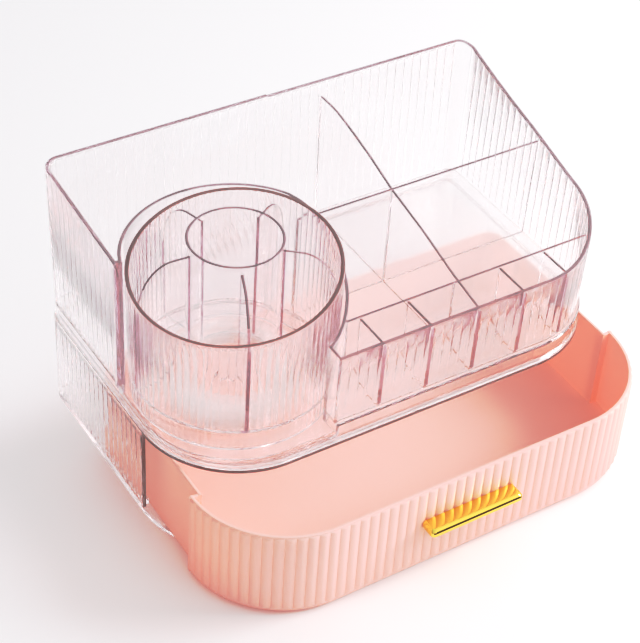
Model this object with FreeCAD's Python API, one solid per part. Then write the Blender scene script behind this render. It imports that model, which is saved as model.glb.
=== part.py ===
"""Clear desk organizer: drawer housing, pull-out drawer, lift-off tray and a spinning pen cup.

Millimetres, +Z up, +X to the right, -Y to the front. The origin is the centre of the
housing's underside. The drawer is modelled shut and then moved forward by DRAWER_OPEN.
"""
import FreeCAD, Part
import math
import os

V = FreeCAD.Vector
Z_AXIS = V(0, 0, 1)
FAR = 400.0                      # longer than the whole organizer, for trimming blocks
OVERLAP = 1.0                    # how far joined solids and cutting tools reach past a face

# ---- housing: the clear sleeve that the drawer slides in
HOUSING_W = 300.0
HOUSING_D = 184.0
FRONT_R = 62.0                   # plan radius of the two front corners
BACK_R = 9.0                     # plan radius of the two back corners
BOTTOM_T = 2.5
DECK_UNDER = 64.0
DECK_TOP = 66.4
HOUSING_WALL = 2.7
LIP_INSET = 3.9                  # stacking lip inside the tray's skirt, from the deck's edge
LIP_T = 1.6
LIP_H = 1.7
RUNNER_W = 2.8
RUNNER_H = 4.0
RUNNER_FRONT_GAP = 2.0           # behind the front ends of the side walls
RUNNER_BACK = 80.0
WALL_END_GAP = 0.5               # side walls stop this far behind the front corners

# ---- drawer
DRAWER_OPEN = 55.5
DRAWER_TRAVEL = 112.0
DRAWER_GAP = 0.4
DRAWER_TOP = 62.7
SHELL_T = 3.0
DRAWER_WALL = 2.0
DRAWER_BASE_T = 2.0
DRAWER_BODY_HALF_W = 144.2
DRAWER_BACK = 89.0
DRAWER_BACK_R = 12.0
DRAWER_JOIN_R = 1.0              # hidden corners where the body meets the shell
STOP_X = 58.0                    # inner edge of each stop
STOP_W = 14.0
STOP_T = 1.8
STOP_DROP = 1.05
STOP_GAP = 0.2
TAB_RISE = 0.9

# ---- handle and its two screws
HANDLE_L = 64.0
HANDLE_DEPTH = 10.8
HANDLE_H = 6.0
HANDLE_TOP = 40.2
HANDLE_CHAMFER = 1.5
SCREW_X = 12.0
SCREW_R = 1.5
SCREW_HOLE_R = 1.7
SCREW_LENGTH = 10.5
SCREW_HEAD_R = 2.8
SCREW_HEAD_H = 1.8
SCREW_HEAD_FILLET = 0.8
SCREW_SLOT_REACH = 1.7
SCREW_SLOT = 0.8

# ---- tray
TRAY_HALF_W = 149.4              # at the floor; the walls lean out by TRAY_DRAFT at the top
TRAY_FRONT = -88.0
TRAY_BACK = 90.5
TRAY_FRONT_R = 60.0
TRAY_DRAFT = 2.0
FRONT_LEAN = 0.4                 # share of that draft on the front wall
TRAY_WALL = 2.6
TRAY_TOP = 178.6
TRAY_FLOOR = 78.3
TRAY_FLOOR_T = 2.3
SKIRT_FRONT = -90.5
SKIRT_HALF_W = 149.6
SKIRT_FRONT_R = 60.5
SKIRT_T = 2.0
SKIRT_TOP = 72.4                 # low rim in front of the cup
PLATFORM_TOP = 70.4              # floor under the cup
FRONT_WALL_TOP = 126.7
DIVIDER_T = 1.7
MAIN_DIVIDER_X = 39.2
MAIN_DIVIDER_TOP = 167.0
CELL_PITCH = 32.7
BACK_CROSS_Y = 7.2
BACK_CROSS_TOP = 149.2
FRONT_CROSS_Y = -62.0
LEFT_WALL_END_Y = -1.5
LEFT_WALL_END_TOP = 168.5
RECESS_R = 63.2
RECESS_T = 2.0
RECESS_TOP = 165.6
RECESS_START = -62.0             # degrees about the cup's axis
RECESS_END = 163.0
RECESS_SLOPE_TOP_Y = 16.0
RECESS_SLOPE_END_Y = -66.0
STUB_X = -56.0
# Heights of the right wall's rim and of the main divider, as (y, z) from front to back.
RIGHT_RIM = [(-81.7, 128.2), (-53.9, 137.2), (-28.6, 142.0), (14.0, 154.3), (57.8, 166.1),
             (80.0, 173.2), (92.0, TRAY_TOP)]
MAIN_DIVIDER_RIM = [(-42.0, 136.0), (14.0, 151.5), (45.0, 160.5), (56.0, 163.6), (66.0, 165.9),
                    (76.0, MAIN_DIVIDER_TOP)]
DIVIDER_BELOW_RIM = 1.0          # divider tops below the front wall's rim

# ---- rotating cup
CUP_X = -85.0
CUP_Y = -20.0
CUP_R_LOW = 60.7
CUP_R_HIGH = 62.2
CUP_WALL = 2.6
CUP_BOTTOM = 71.2
CUP_FLOOR = 85.0
CUP_FLOOR_T = 2.0
CUP_RIM = 156.8                  # rim height on the axis; the rim is cut on a slant
RIM_SLOPE_X = 0.12
RIM_SLOPE_Y = 0.09
TUBE_R = 27.9
TUBE_WALL = 1.7
TUBE_TOP = 176.5
FIN_COUNT = 5
FIN_FIRST_ANGLE = 32.0
FIN_T = 1.6
FIN_TOP = 171.5
FIN_BEND_R = 38.0
FIN_OUTER_R = 59.5
FIN_END = 141.0                  # height at which a fin's rounded top meets the cup's wall

# ---- turntable bearing under the cup
POST_R = 8.0
POST_TOP = 85.15
POST_BORE_R = 5.0
HUB_R = 14.0
HUB_BOTTOM = 79.0
HUB_CLEARANCE = 0.06
RACE_R = 38.0
RACE_W = 10.0
RACE_TOP = 73.0
BALL_R = 2.5
BALL_GAP = 0.02
BALL_COUNT = 12
CAGE_W = 9.0
CAGE_H = 2.4
CAGE_HOLE_R = 2.6
GUIDE_CLEARANCE = 0.08
GUIDE_T = 1.8
GUIDE_TOP = 76.4
CAP_R = 12.0
CAP_T = 1.8
CAP_STEM_L = 9.0
CAP_FILLET = 0.8

CUP_AXIS = V(CUP_X, CUP_Y, 0)
DRAWER_FRONT = -HOUSING_D / 2
SIDE_END_Y = DRAWER_FRONT + FRONT_R      # where the straight sides meet the front corners


def outline(half_w, front, back, r_front, r_back, z):
    """Closed plan outline with two large front and two small back corners."""
    def corner(cx, cy, r, start):
        pts = []
        for step in (0, 45, 90):
            a = math.radians(start + step)
            pts.append(V(cx + r * math.cos(a), cy + r * math.sin(a), z))
        return Part.Arc(*pts).toShape(), pts[0], pts[2]
    corners = [
        corner(half_w - r_back, back - r_back, r_back, 0),
        corner(-half_w + r_back, back - r_back, r_back, 90),
        corner(-half_w + r_front, front + r_front, r_front, 180),
        corner(half_w - r_front, front + r_front, r_front, 270),
    ]
    edges = []
    for i, (arc, _, end) in enumerate(corners):
        edges.append(arc)
        edges.append(Part.LineSegment(end, corners[(i + 1) % 4][1]).toShape())
    return Part.Wire(edges)


def slab(half_w, front, back, r_front, r_back, z0, z1):
    """Plate of that outline between two heights."""
    face = Part.Face(outline(half_w, front, back, r_front, r_back, z0))
    return face.extrude(V(0, 0, z1 - z0))


def box(x0, x1, y0, y1, z0, z1):
    return Part.makeBox(x1 - x0, y1 - y0, z1 - z0, V(x0, y0, z0))


def cylinder(r, z0, z1, at=CUP_AXIS):
    return Part.makeCylinder(r, z1 - z0, V(at.x, at.y, z0), Z_AXIS)


def tube(r_in, r_out, z0, z1):
    """Ring about the cup's axis."""
    return cylinder(r_out, z0, z1).cut(cylinder(r_in, z0 - OVERLAP, z1 + OVERLAP))


def mirrored(shape):
    """The shape and its mirror image about the middle plane."""
    return [shape, shape.mirror(V(0, 0, 0), V(1, 0, 0))]


def fuse(shapes):
    return shapes[0].multiFuse(shapes[1:]).removeSplitter()


def above_profile(points, x0, x1):
    """Everything above a line of (y, z) points, from x0 to x1."""
    pts = [V(x0, y, z) for y, z in points]
    pts.append(V(x0, points[-1][0], FAR))
    pts.append(V(x0, points[0][0], FAR))
    pts.append(pts[0])
    return Part.Face(Part.makePolygon(pts)).extrude(V(x1 - x0, 0, 0))


# ---------------------------------------------------------------- housing
def housing_slab(inset, z0, z1):
    half_w = HOUSING_W / 2 - inset
    half_d = HOUSING_D / 2 - inset
    return slab(half_w, -half_d, half_d, FRONT_R - inset, BACK_R - inset, z0, z1)


def make_housing():
    bottom = housing_slab(0, 0, BOTTOM_T)
    deck = housing_slab(0, DECK_UNDER, DECK_TOP)
    walls = housing_slab(0, BOTTOM_T, DECK_UNDER).cut(housing_slab(HOUSING_WALL, 0, DECK_TOP))
    walls = walls.cut(box(-FAR, FAR, -FAR, SIDE_END_Y + WALL_END_GAP, -OVERLAP, FAR))
    lip_in = housing_slab(LIP_INSET + LIP_T, DECK_UNDER, FAR)
    lip = housing_slab(LIP_INSET, DECK_TOP, DECK_TOP + LIP_H).cut(lip_in)
    runner_x = HOUSING_W / 2 - HOUSING_WALL
    runner = box(runner_x - RUNNER_W, runner_x, SIDE_END_Y + RUNNER_FRONT_GAP, RUNNER_BACK,
                 BOTTOM_T, BOTTOM_T + RUNNER_H)
    stop_y = DRAWER_BACK - DRAWER_WALL - DRAWER_TRAVEL - STOP_GAP
    stop = box(STOP_X, STOP_X + STOP_W, stop_y - STOP_T, stop_y, DECK_UNDER - STOP_DROP, DECK_UNDER)
    return fuse([bottom, deck, walls, lip] + mirrored(runner) + mirrored(stop))


# ---------------------------------------------------------------- drawer
def drawer_body_slab(inset, z0, z1):
    """Straight-sided part of the drawer, behind the front shell."""
    half_w = DRAWER_BODY_HALF_W - inset
    front = SIDE_END_Y - DRAWER_BACK_R
    return slab(half_w, front, DRAWER_BACK - inset, DRAWER_JOIN_R, DRAWER_BACK_R - inset, z0, z1)


def make_drawer():
    z0 = BOTTOM_T + DRAWER_GAP
    z_floor = z0 + DRAWER_BASE_T
    front_zone = box(-FAR, FAR, -FAR, SIDE_END_Y, 0, FAR)
    back_zone = box(-FAR, FAR, SIDE_END_Y - DRAWER_WALL, FAR, 0, FAR)
    front_outer = housing_slab(0, z0, DRAWER_TOP)
    shell = front_outer.cut(housing_slab(SHELL_T, z_floor, FAR)).common(front_zone)
    body = drawer_body_slab(0, z0, DRAWER_TOP)
    body = body.cut(drawer_body_slab(DRAWER_WALL, z_floor, FAR)).common(back_zone)
    half_w = HOUSING_W / 2
    flange_in = DRAWER_BODY_HALF_W - DRAWER_WALL
    flange = box(flange_in, half_w, SIDE_END_Y - DRAWER_WALL, SIDE_END_Y, z0, DRAWER_TOP)
    tab = box(STOP_X, STOP_X + STOP_W, DRAWER_BACK - DRAWER_WALL, DRAWER_BACK,
              DRAWER_TOP - OVERLAP, DRAWER_TOP + TAB_RISE)
    drawer = fuse([shell, body] + mirrored(flange) + mirrored(tab))
    for x in (-SCREW_X, SCREW_X):
        start = V(x, DRAWER_FRONT - OVERLAP, HANDLE_TOP - HANDLE_H / 2)
        hole = Part.makeCylinder(SCREW_HOLE_R, SHELL_T + 2 * OVERLAP, start, V(0, 1, 0))
        drawer = drawer.cut(hole)
    return pulled_out(drawer)


def pulled_out(shape):
    shape.translate(V(0, -DRAWER_OPEN, 0))
    return shape


def make_handle():
    front = DRAWER_FRONT - HANDLE_DEPTH
    bar = box(-HANDLE_L / 2, HANDLE_L / 2, front, DRAWER_FRONT, HANDLE_TOP - HANDLE_H, HANDLE_TOP)
    rim = [e for e in bar.Edges if e.BoundBox.YMin < DRAWER_FRONT - 0.1]
    bar = bar.makeChamfer(HANDLE_CHAMFER, rim)
    for x in (-SCREW_X, SCREW_X):
        mouth = V(x, DRAWER_FRONT, HANDLE_TOP - HANDLE_H / 2)
        depth = SCREW_LENGTH - SHELL_T
        bar = bar.cut(Part.makeCylinder(SCREW_R, depth, mouth, V(0, -1, 0)))
    return pulled_out(bar)


def make_screw(x):
    """Pan-head screw, driven from inside the drawer into the handle."""
    seat = V(x, DRAWER_FRONT + SHELL_T, HANDLE_TOP - HANDLE_H / 2)
    head = Part.makeCylinder(SCREW_HEAD_R, SCREW_HEAD_H, seat, V(0, 1, 0))
    crown = [e for e in head.Edges if e.BoundBox.YMin > seat.y + SCREW_HEAD_H - 0.1]
    head = head.makeFillet(SCREW_HEAD_FILLET, crown)
    shank = Part.makeCylinder(SCREW_R, SCREW_LENGTH, seat, V(0, -1, 0))
    screw = head.fuse(shank).removeSplitter()
    top = seat.y + SCREW_HEAD_H
    slot = SCREW_SLOT / 2
    for dx, dz in ((SCREW_SLOT_REACH, slot), (slot, SCREW_SLOT_REACH)):
        screw = screw.cut(box(x - dx, x + dx, top - SCREW_SLOT, top + OVERLAP,
                              seat.z - dz, seat.z + dz))
    return screw


def make_screws():
    return pulled_out(Part.makeCompound([make_screw(-SCREW_X), make_screw(SCREW_X)]))


# ---------------------------------------------------------------- tray
def tray_outline(inset, z):
    """Wall outline at one height, leaning out from the floor to the top."""
    lean = TRAY_DRAFT * (z - TRAY_FLOOR) / (TRAY_TOP - TRAY_FLOOR)
    grow = lean - inset
    return outline(TRAY_HALF_W + grow, TRAY_FRONT - lean * FRONT_LEAN + inset, TRAY_BACK + grow,
                   TRAY_FRONT_R + grow, BACK_R + grow, z)


def leaning_block(inset, z0, z1):
    return Part.makeLoft([tray_outline(inset, z0), tray_outline(inset, z1)], True, True)


def skirt_slab(inset, z0, z1):
    return slab(SKIRT_HALF_W - inset, SKIRT_FRONT + inset, TRAY_BACK - inset,
                SKIRT_FRONT_R - inset, BACK_R - inset, z0, z1)


def cup_zone(r):
    """Space kept open for the cup: its circle and the corner in front of it."""
    corner = box(-FAR, STUB_X + DIVIDER_T, -FAR, LEFT_WALL_END_Y, 0, FAR)
    return cylinder(r, 0, FAR).fuse(corner)


def tray_base():
    """Skirt that nests on the housing, raised floor and the cup's platform."""
    floor_under = TRAY_FLOOR - TRAY_FLOOR_T
    skirt = skirt_slab(0, DECK_TOP, TRAY_FLOOR).cut(skirt_slab(SKIRT_T, 0, FAR))
    corner = box(-FAR, STUB_X + DIVIDER_T, -FAR, LEFT_WALL_END_Y, SKIRT_TOP, FAR)
    skirt = skirt.cut(corner)
    zone = cup_zone(RECESS_R + RECESS_T)
    floor = skirt_slab(0, floor_under, TRAY_FLOOR).cut(zone)
    platform = skirt_slab(0, PLATFORM_TOP - TRAY_FLOOR_T, PLATFORM_TOP).common(zone)
    return [skirt, floor, platform]


def full_profile(low, start_y, rim, high):
    """Rim heights run on level to the front and to the back of everything."""
    return [(-FAR, low), (start_y, low)] + rim + [(FAR, high)]


def tray_walls():
    """Outer walls, trimmed to their sloping rims and cut away at the cup."""
    walls = leaning_block(0, TRAY_FLOOR - OVERLAP, TRAY_TOP).cut(
        leaning_block(TRAY_WALL, TRAY_FLOOR - 2 * OVERLAP, TRAY_TOP + 2 * OVERLAP))
    right_rim = full_profile(FRONT_WALL_TOP, TRAY_FRONT, RIGHT_RIM, TRAY_TOP)
    walls = walls.cut(above_profile(right_rim, 0, FAR))
    left_rim = full_profile(LEFT_WALL_END_TOP, LEFT_WALL_END_Y, [(TRAY_BACK, TRAY_TOP)], TRAY_TOP)
    walls = walls.cut(above_profile(left_rim, -FAR, CUP_X))
    walls = walls.cut(box(CUP_X, OVERLAP, -FAR, LEFT_WALL_END_Y, FRONT_WALL_TOP, FAR))
    return walls.cut(box(-FAR, STUB_X, -FAR, LEFT_WALL_END_Y, 0, FAR))


def recess_wall():
    """Round wall behind the cup, sloping down on its right to the front wall."""
    low = PLATFORM_TOP - TRAY_FLOOR_T
    ring = tube(RECESS_R, RECESS_R + RECESS_T, low, RECESS_TOP)
    sweep = RECESS_END - RECESS_START
    wedge = Part.makeCylinder(FAR, FAR, V(CUP_X, CUP_Y, 0), Z_AXIS, sweep)
    wedge.rotate(CUP_AXIS, Z_AXIS, RECESS_START)
    ring = ring.common(wedge)
    slope = full_profile(FRONT_WALL_TOP, RECESS_SLOPE_END_Y, [(RECESS_SLOPE_TOP_Y, RECESS_TOP)],
                         RECESS_TOP)
    ring = ring.cut(above_profile(slope, CUP_X, FAR))
    stub_end = CUP_Y - math.sqrt(RECESS_R ** 2 - (STUB_X - CUP_X) ** 2)
    stub = box(STUB_X, STUB_X + DIVIDER_T, TRAY_FRONT + 0.2, stub_end, low, FRONT_WALL_TOP)
    post = leaning_block(0, TRAY_FLOOR - OVERLAP, TRAY_TOP)
    post_x = CUP_X - math.sqrt(RECESS_R ** 2 - (LEFT_WALL_END_Y - CUP_Y) ** 2)
    post = post.common(box(-FAR, post_x, LEFT_WALL_END_Y, LEFT_WALL_END_Y + TRAY_WALL, 0,
                           LEFT_WALL_END_TOP))
    return [ring, stub, post]


def divider_across(y, top, x0, x1):
    return box(x0, x1, y - DIVIDER_T / 2, y + DIVIDER_T / 2, TRAY_FLOOR - OVERLAP, top)


def divider_along(x, top, y0, y1):
    return box(x - DIVIDER_T / 2, x + DIVIDER_T / 2, y0, y1, TRAY_FLOOR - OVERLAP, top)


def tray_dividers():
    """Moulded-in dividers, trimmed to the space between the tray's walls."""
    main = divider_along(MAIN_DIVIDER_X, MAIN_DIVIDER_TOP, -FAR / 2, FAR / 2)
    cell_top = FRONT_WALL_TOP - DIVIDER_BELOW_RIM
    slope = full_profile(cell_top, TRAY_FRONT, MAIN_DIVIDER_RIM, MAIN_DIVIDER_TOP)
    main = main.cut(above_profile(slope, 0, FAR))
    dividers = [
        main,
        divider_across(BACK_CROSS_Y, BACK_CROSS_TOP, CUP_X, FAR / 2),
        divider_across(FRONT_CROSS_Y, FRONT_WALL_TOP, CUP_X, FAR / 2),
    ]
    for n in (-2, -1, 1, 2):
        x = MAIN_DIVIDER_X + n * CELL_PITCH
        dividers.append(divider_along(x, cell_top, -FAR / 2, FRONT_CROSS_Y))
    inside = leaning_block(TRAY_WALL / 2, TRAY_FLOOR - 2 * OVERLAP, TRAY_TOP)
    inside = inside.cut(cup_zone(RECESS_R + RECESS_T / 2))
    return [d.common(inside) for d in dividers]


def tray_pivot():
    """Hollow post that the cup turns on."""
    bore = cylinder(POST_BORE_R, POST_TOP - CAP_STEM_L - OVERLAP, POST_TOP + OVERLAP)
    return cylinder(POST_R, PLATFORM_TOP - OVERLAP, POST_TOP).cut(bore)


def make_tray():
    pieces = tray_base() + tray_walls().Solids + recess_wall() + tray_dividers()
    return fuse(pieces + [tray_pivot()])


# ---------------------------------------------------------------- rotating cup
def rim_height(x, y):
    return CUP_RIM + RIM_SLOPE_X * (x - CUP_X) + RIM_SLOPE_Y * (y - CUP_Y)


def above_rim():
    """Block above the slanted plane of the cup's rim."""
    corners = []
    for dx, dy in ((-1, -1), (1, -1), (1, 1), (-1, 1), (-1, -1)):
        x = CUP_X + dx * 2 * CUP_R_HIGH
        y = CUP_Y + dy * 2 * CUP_R_HIGH
        corners.append(V(x, y, rim_height(x, y)))
    return Part.Face(Part.makePolygon(corners)).extrude(V(0, 0, FAR))


def cup_wall():
    height = TUBE_TOP - CUP_BOTTOM
    base = V(CUP_X, CUP_Y, CUP_BOTTOM)
    outer = Part.makeCone(CUP_R_LOW, CUP_R_HIGH, height, base, Z_AXIS)
    inner = Part.makeCone(CUP_R_LOW - CUP_WALL, CUP_R_HIGH - CUP_WALL, height, base, Z_AXIS)
    return outer.cut(inner).cut(above_rim())


def cup_fin(angle):
    """Upright fin from the tube to the wall, its top rounding down at the wall."""
    start_r = TUBE_R - TUBE_WALL / 2
    reach = FIN_OUTER_R - FIN_BEND_R
    drop = FIN_TOP - FIN_END
    side = -FIN_T / 2
    mid = V(FIN_BEND_R + reach * math.sin(math.pi / 4), side,
            FIN_END + drop * math.cos(math.pi / 4))
    low = CUP_FLOOR - OVERLAP
    foot_r = CUP_R_LOW - CUP_WALL / 2
    top = Part.LineSegment(V(start_r, side, FIN_TOP), V(FIN_BEND_R, side, FIN_TOP)).toShape()
    bend = Part.Arc(V(FIN_BEND_R, side, FIN_TOP), mid, V(FIN_OUTER_R, side, FIN_END)).toShape()
    rest = Part.makePolygon([V(FIN_OUTER_R, side, FIN_END), V(foot_r, side, FIN_END - OVERLAP),
                             V(foot_r, side, low), V(start_r, side, low),
                             V(start_r, side, FIN_TOP)])
    fin = Part.Face(Part.Wire([top, bend] + rest.Edges)).extrude(V(0, FIN_T, 0))
    fin.rotate(V(0, 0, 0), Z_AXIS, angle)
    fin.translate(CUP_AXIS)
    return fin


def make_cup():
    floor_under = CUP_FLOOR - CUP_FLOOR_T
    floor = cylinder(CUP_R_LOW - CUP_WALL / 2, floor_under, CUP_FLOOR)
    centre_tube = tube(TUBE_R - TUBE_WALL, TUBE_R, floor_under, TUBE_TOP)
    hub = cylinder(HUB_R, HUB_BOTTOM, CUP_FLOOR)
    fins = [cup_fin(FIN_FIRST_ANGLE + 360 / FIN_COUNT * n) for n in range(FIN_COUNT)]
    cup = fuse([cup_wall(), floor, centre_tube, hub] + fins)
    return cup.cut(cylinder(POST_R + HUB_CLEARANCE, HUB_BOTTOM - OVERLAP, CUP_FLOOR + OVERLAP))


# ---------------------------------------------------------------- bearing
def make_lower_race():
    """Ring on the tray's platform, with a rim inside that centres the ball cage."""
    race = tube(RACE_R - RACE_W / 2, RACE_R + RACE_W / 2, PLATFORM_TOP, RACE_TOP)
    guide_r = RACE_R - CAGE_W / 2 - GUIDE_CLEARANCE
    return fuse([race, tube(guide_r - GUIDE_T, guide_r, PLATFORM_TOP, GUIDE_TOP)])


def make_upper_race():
    """Ring under the cup's floor, resting on the balls."""
    low = RACE_TOP + 2 * (BALL_R + BALL_GAP)
    return tube(RACE_R - RACE_W / 2, RACE_R + RACE_W / 2, low, CUP_FLOOR - CUP_FLOOR_T)


def ball_places():
    height = RACE_TOP + BALL_GAP + BALL_R
    for n in range(BALL_COUNT):
        a = 2 * math.pi * n / BALL_COUNT
        yield V(CUP_X + RACE_R * math.cos(a), CUP_Y + RACE_R * math.sin(a), height)


def make_balls():
    return Part.makeCompound([Part.makeSphere(BALL_R, place) for place in ball_places()])


def make_cage():
    height = RACE_TOP + BALL_GAP + BALL_R
    cage = tube(RACE_R - CAGE_W / 2, RACE_R + CAGE_W / 2, height - CAGE_H / 2, height + CAGE_H / 2)
    for place in ball_places():
        cage = cage.cut(cylinder(CAGE_HOLE_R, height - CAGE_H, height + CAGE_H, place))
    return cage


def make_cap():
    """Flanged plug in the pivot post that holds the cup down."""
    flange = cylinder(CAP_R, POST_TOP, POST_TOP + CAP_T)
    crown = [e for e in flange.Edges if e.BoundBox.ZMin > POST_TOP + CAP_T - 0.1]
    flange = flange.makeFillet(CAP_FILLET, crown)
    stem = cylinder(POST_BORE_R, POST_TOP - CAP_STEM_L, POST_TOP)
    return flange.fuse(stem).removeSplitter()


PARTS = {
    "drawer_housing": make_housing,
    "drawer": make_drawer,
    "drawer_handle": make_handle,
    "handle_screws": make_screws,
    "upper_tray": make_tray,
    "rotating_cup": make_cup,
    "lower_race": make_lower_race,
    "bearing_cage": make_cage,
    "bearing_balls": make_balls,
    "upper_race": make_upper_race,
    "pivot_cap": make_cap,
}

os.makedirs("parts", exist_ok=True)
for name, make in PARTS.items():
    part = make()
    part.exportStep("parts/" + name + ".step")
    size = part.BoundBox
    print(name, "solids", len(part.Solids), "valid", part.isValid(), "volume", round(part.Volume),
          "x", round(size.XMin, 1), round(size.XMax, 1), "y", round(size.YMin, 1),
          round(size.YMax, 1), "z", round(size.ZMin, 1), round(size.ZMax, 1))
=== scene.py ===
"""Looks for the clear desk organizer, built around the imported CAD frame.

The lengths below are millimetres and become metres when a mesh is made. +Z is up, -Y is the
front, and the origin is the centre of the housing's underside.
"""
import bisect
import math

import bmesh
import bpy
from mathutils import Matrix, Vector


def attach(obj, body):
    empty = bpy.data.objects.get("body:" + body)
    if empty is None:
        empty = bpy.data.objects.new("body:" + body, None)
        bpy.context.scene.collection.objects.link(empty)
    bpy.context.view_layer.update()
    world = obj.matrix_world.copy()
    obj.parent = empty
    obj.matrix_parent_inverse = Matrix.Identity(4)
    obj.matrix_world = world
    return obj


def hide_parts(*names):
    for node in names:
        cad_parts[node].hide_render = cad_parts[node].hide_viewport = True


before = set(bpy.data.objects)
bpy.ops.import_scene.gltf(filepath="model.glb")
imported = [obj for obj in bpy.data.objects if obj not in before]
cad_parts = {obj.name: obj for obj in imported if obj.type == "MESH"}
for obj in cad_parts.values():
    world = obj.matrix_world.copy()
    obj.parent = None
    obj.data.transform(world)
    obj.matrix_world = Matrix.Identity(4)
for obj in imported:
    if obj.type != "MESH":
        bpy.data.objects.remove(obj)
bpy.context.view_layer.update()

MM = 0.001
SMOOTH_ANGLE = math.radians(32)

# ---- housing
HOUSING_HALF_W = 150.0
HOUSING_HALF_D = 92.0
FRONT_R = 62.0
BACK_R = 9.0
BOTTOM_T = 2.5
DECK_UNDER = 64.0
DECK_TOP = 66.4
HOUSING_WALL = 2.7
HOUSING_RIB_PITCH = 6.05
HOUSING_LEVELS = (1.0, 4.5, 61.5, 65.4)      # foot, rib ends and top of its walls
LIP_LOW = 65.5
LIP_TOP = 68.1
LIP_T = 1.6
LIP_INSET = 3.9
RUNNER_X = (144.5, 147.6)
RUNNER_Z = (2.0, 6.5)
RUNNER_BACK = 80.0
STOP_X = (58.0, 72.0)
STOP_Y = (-27.0, -25.2)
STOP_Z = (62.95, 64.5)
SIDE_END_Y = FRONT_R - HOUSING_HALF_D
WALL_END_GAP = 0.5               # side walls stop this far behind the front corners
SLIM = 0.05                      # air left between two clear pieces that touch

# ---- reeding: grooves between flat ribs on the clear walls, round ribs on the drawer
RIB_PITCH = 6.4
CUP_RIB_PITCH = 4.2
GROOVE_DEPTH = 0.22              # between the flat ribs of the clear walls
GROOVE_REACH = 0.55              # half width of such a groove
DRAWER_RIB_DEPTH = 1.10          # between the round ribs of the drawer's front
GROOVE_SAMPLES = (0.0, 0.04, 0.08, 0.13, 0.22, 0.5, 0.78, 0.87, 0.92, 0.96)
ROUND_SAMPLES = (0.0, 0.06, 0.14, 0.25, 0.38, 0.5, 0.62, 0.75, 0.86, 0.94)
PATH_STEP = 0.8                  # between the points of a wall's path
RIB_END = 1.2                    # height over which a rib fades out
RIM_SOFT = 0.45                  # rounding of a wall's rim
ROUND_STEPS = 128                # sides of a disc or ring
TUBE_STEPS = 160

# ---- tray
TRAY_FLOOR = 78.3
TRAY_FLOOR_T = 2.3
TRAY_WALL = 2.6
TRAY_WALL_FOOT = 76.7
TRAY_HALF_W = 149.4
TRAY_FRONT = -88.0
TRAY_BACK = 90.5
TRAY_FRONT_R = 60.0
TRAY_DRAFT = 2.0
TRAY_TOP = 178.6
FRONT_LEAN = 0.4
FRONT_WALL_TOP = 126.7
STUB_X = -56.0
STUB_T = 1.9
LEFT_END_Y = -1.5
LEFT_END_TOP = 168.5
PLATFORM_TOP = 70.4
PIVOT_R = 8.0
PIVOT_HOLE_R = 5.0
PIVOT_TOP = 85.1
SKIRT_TOP = 72.4
SKIRT_HALF_W = 149.6
SKIRT_HALF_D = 90.4
SKIRT_FRONT_R = 60.3
SKIRT_T = 2.2
SKIRT_CHAMFER = 0.9
RECESS_R = 63.2
RECESS_T = 2.0
MAIN_X = 39.2
CELL_PITCH = 32.7
BACK_CROSS_Y = 7.2
BACK_CROSS_TOP = 149.2
FRONT_CROSS_Y = -62.0
SEAM_W = 2.1
SEAM_T = 0.9
DIVIDER_T = 1.7

# ---- cup
CUP_X = -85.0
CUP_Y = -20.0
CUP_R_LOW = 60.6
CUP_R_HIGH = 62.1
CUP_WALL = 2.6
CUP_BOTTOM = 71.2
CUP_FLOOR = 85.0
CUP_RIM = 156.8
RIM_SLOPE_X = 0.12
RIM_SLOPE_Y = 0.09
TUBE_R = 27.9
TUBE_WALL = 1.7
TUBE_TOP = 176.5
HUB_R = 14.0
HUB_LOW = 79.0
BORE_R = 8.08                    # runs on the pivot
FIN_COUNT = 5
FIN_FIRST_ANGLE = 32.0
FIN_T = 1.6
FIN_TOP = 171.5
FIN_BEND_R = 38.0
FIN_OUTER_R = 59.2
FIN_END = 141.0
FIN_BEND_STEPS = 14
FIN_SEAM_HALF_W = 0.9

# ---- drawer, measured from its place when open
DRAWER_OPEN = 55.5
DRAWER_FRONT = -HOUSING_HALF_D - DRAWER_OPEN
DRAWER_LOW = 2.9
DRAWER_TOP = 62.7
DRAWER_FLOOR = 4.9
DRAWER_BACK = 89.0 - DRAWER_OPEN
DRAWER_HALF_W = 144.2
DRAWER_BACK_R = 12.0
DRAWER_WALL = 2.0
DRAWER_SHELL = 3.0
DRAWER_RIB_PITCH = 6.5
DRAWER_RIB_LOW = 4.4
FLANGE_X = (142.2, 149.6)
TAB_Z = (61.7, 63.6)

# ---- handle
HANDLE_HALF_L = 32.0
HANDLE_DEPTH = 10.8
HANDLE_LOW = 34.2
HANDLE_HIGH = 40.2
HANDLE_CHAMFER = 1.5
HANDLE_BEVEL = 0.7


# ------------------------------------------------------------------ plan curves
def arc(cx, cy, r, a0, a1, step):
    """Points and outward normals along an arc, angles in degrees."""
    n = max(2, round(abs(math.radians(a1 - a0)) * r / step))
    out = []
    for i in range(n + 1):
        a = math.radians(a0 + (a1 - a0) * i / n)
        nx, ny = math.cos(a), math.sin(a)
        out.append((cx + r * nx, cy + r * ny, nx, ny))
    return out


def straight(x0, y0, x1, y1, step, left=True):
    """Points and normals along a line; the normals point to its right if left is False."""
    length = math.hypot(x1 - x0, y1 - y0)
    n = max(1, round(length / step))
    nx, ny = (y1 - y0) / length, -(x1 - x0) / length
    if left:
        nx, ny = -nx, -ny
    return [(x0 + (x1 - x0) * i / n, y0 + (y1 - y0) * i / n, nx, ny) for i in range(n + 1)]


def joined(*runs):
    """One path from several runs, without the doubled end points."""
    path = []
    for run in runs:
        path += run if not path else run[1:]
    return path


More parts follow.
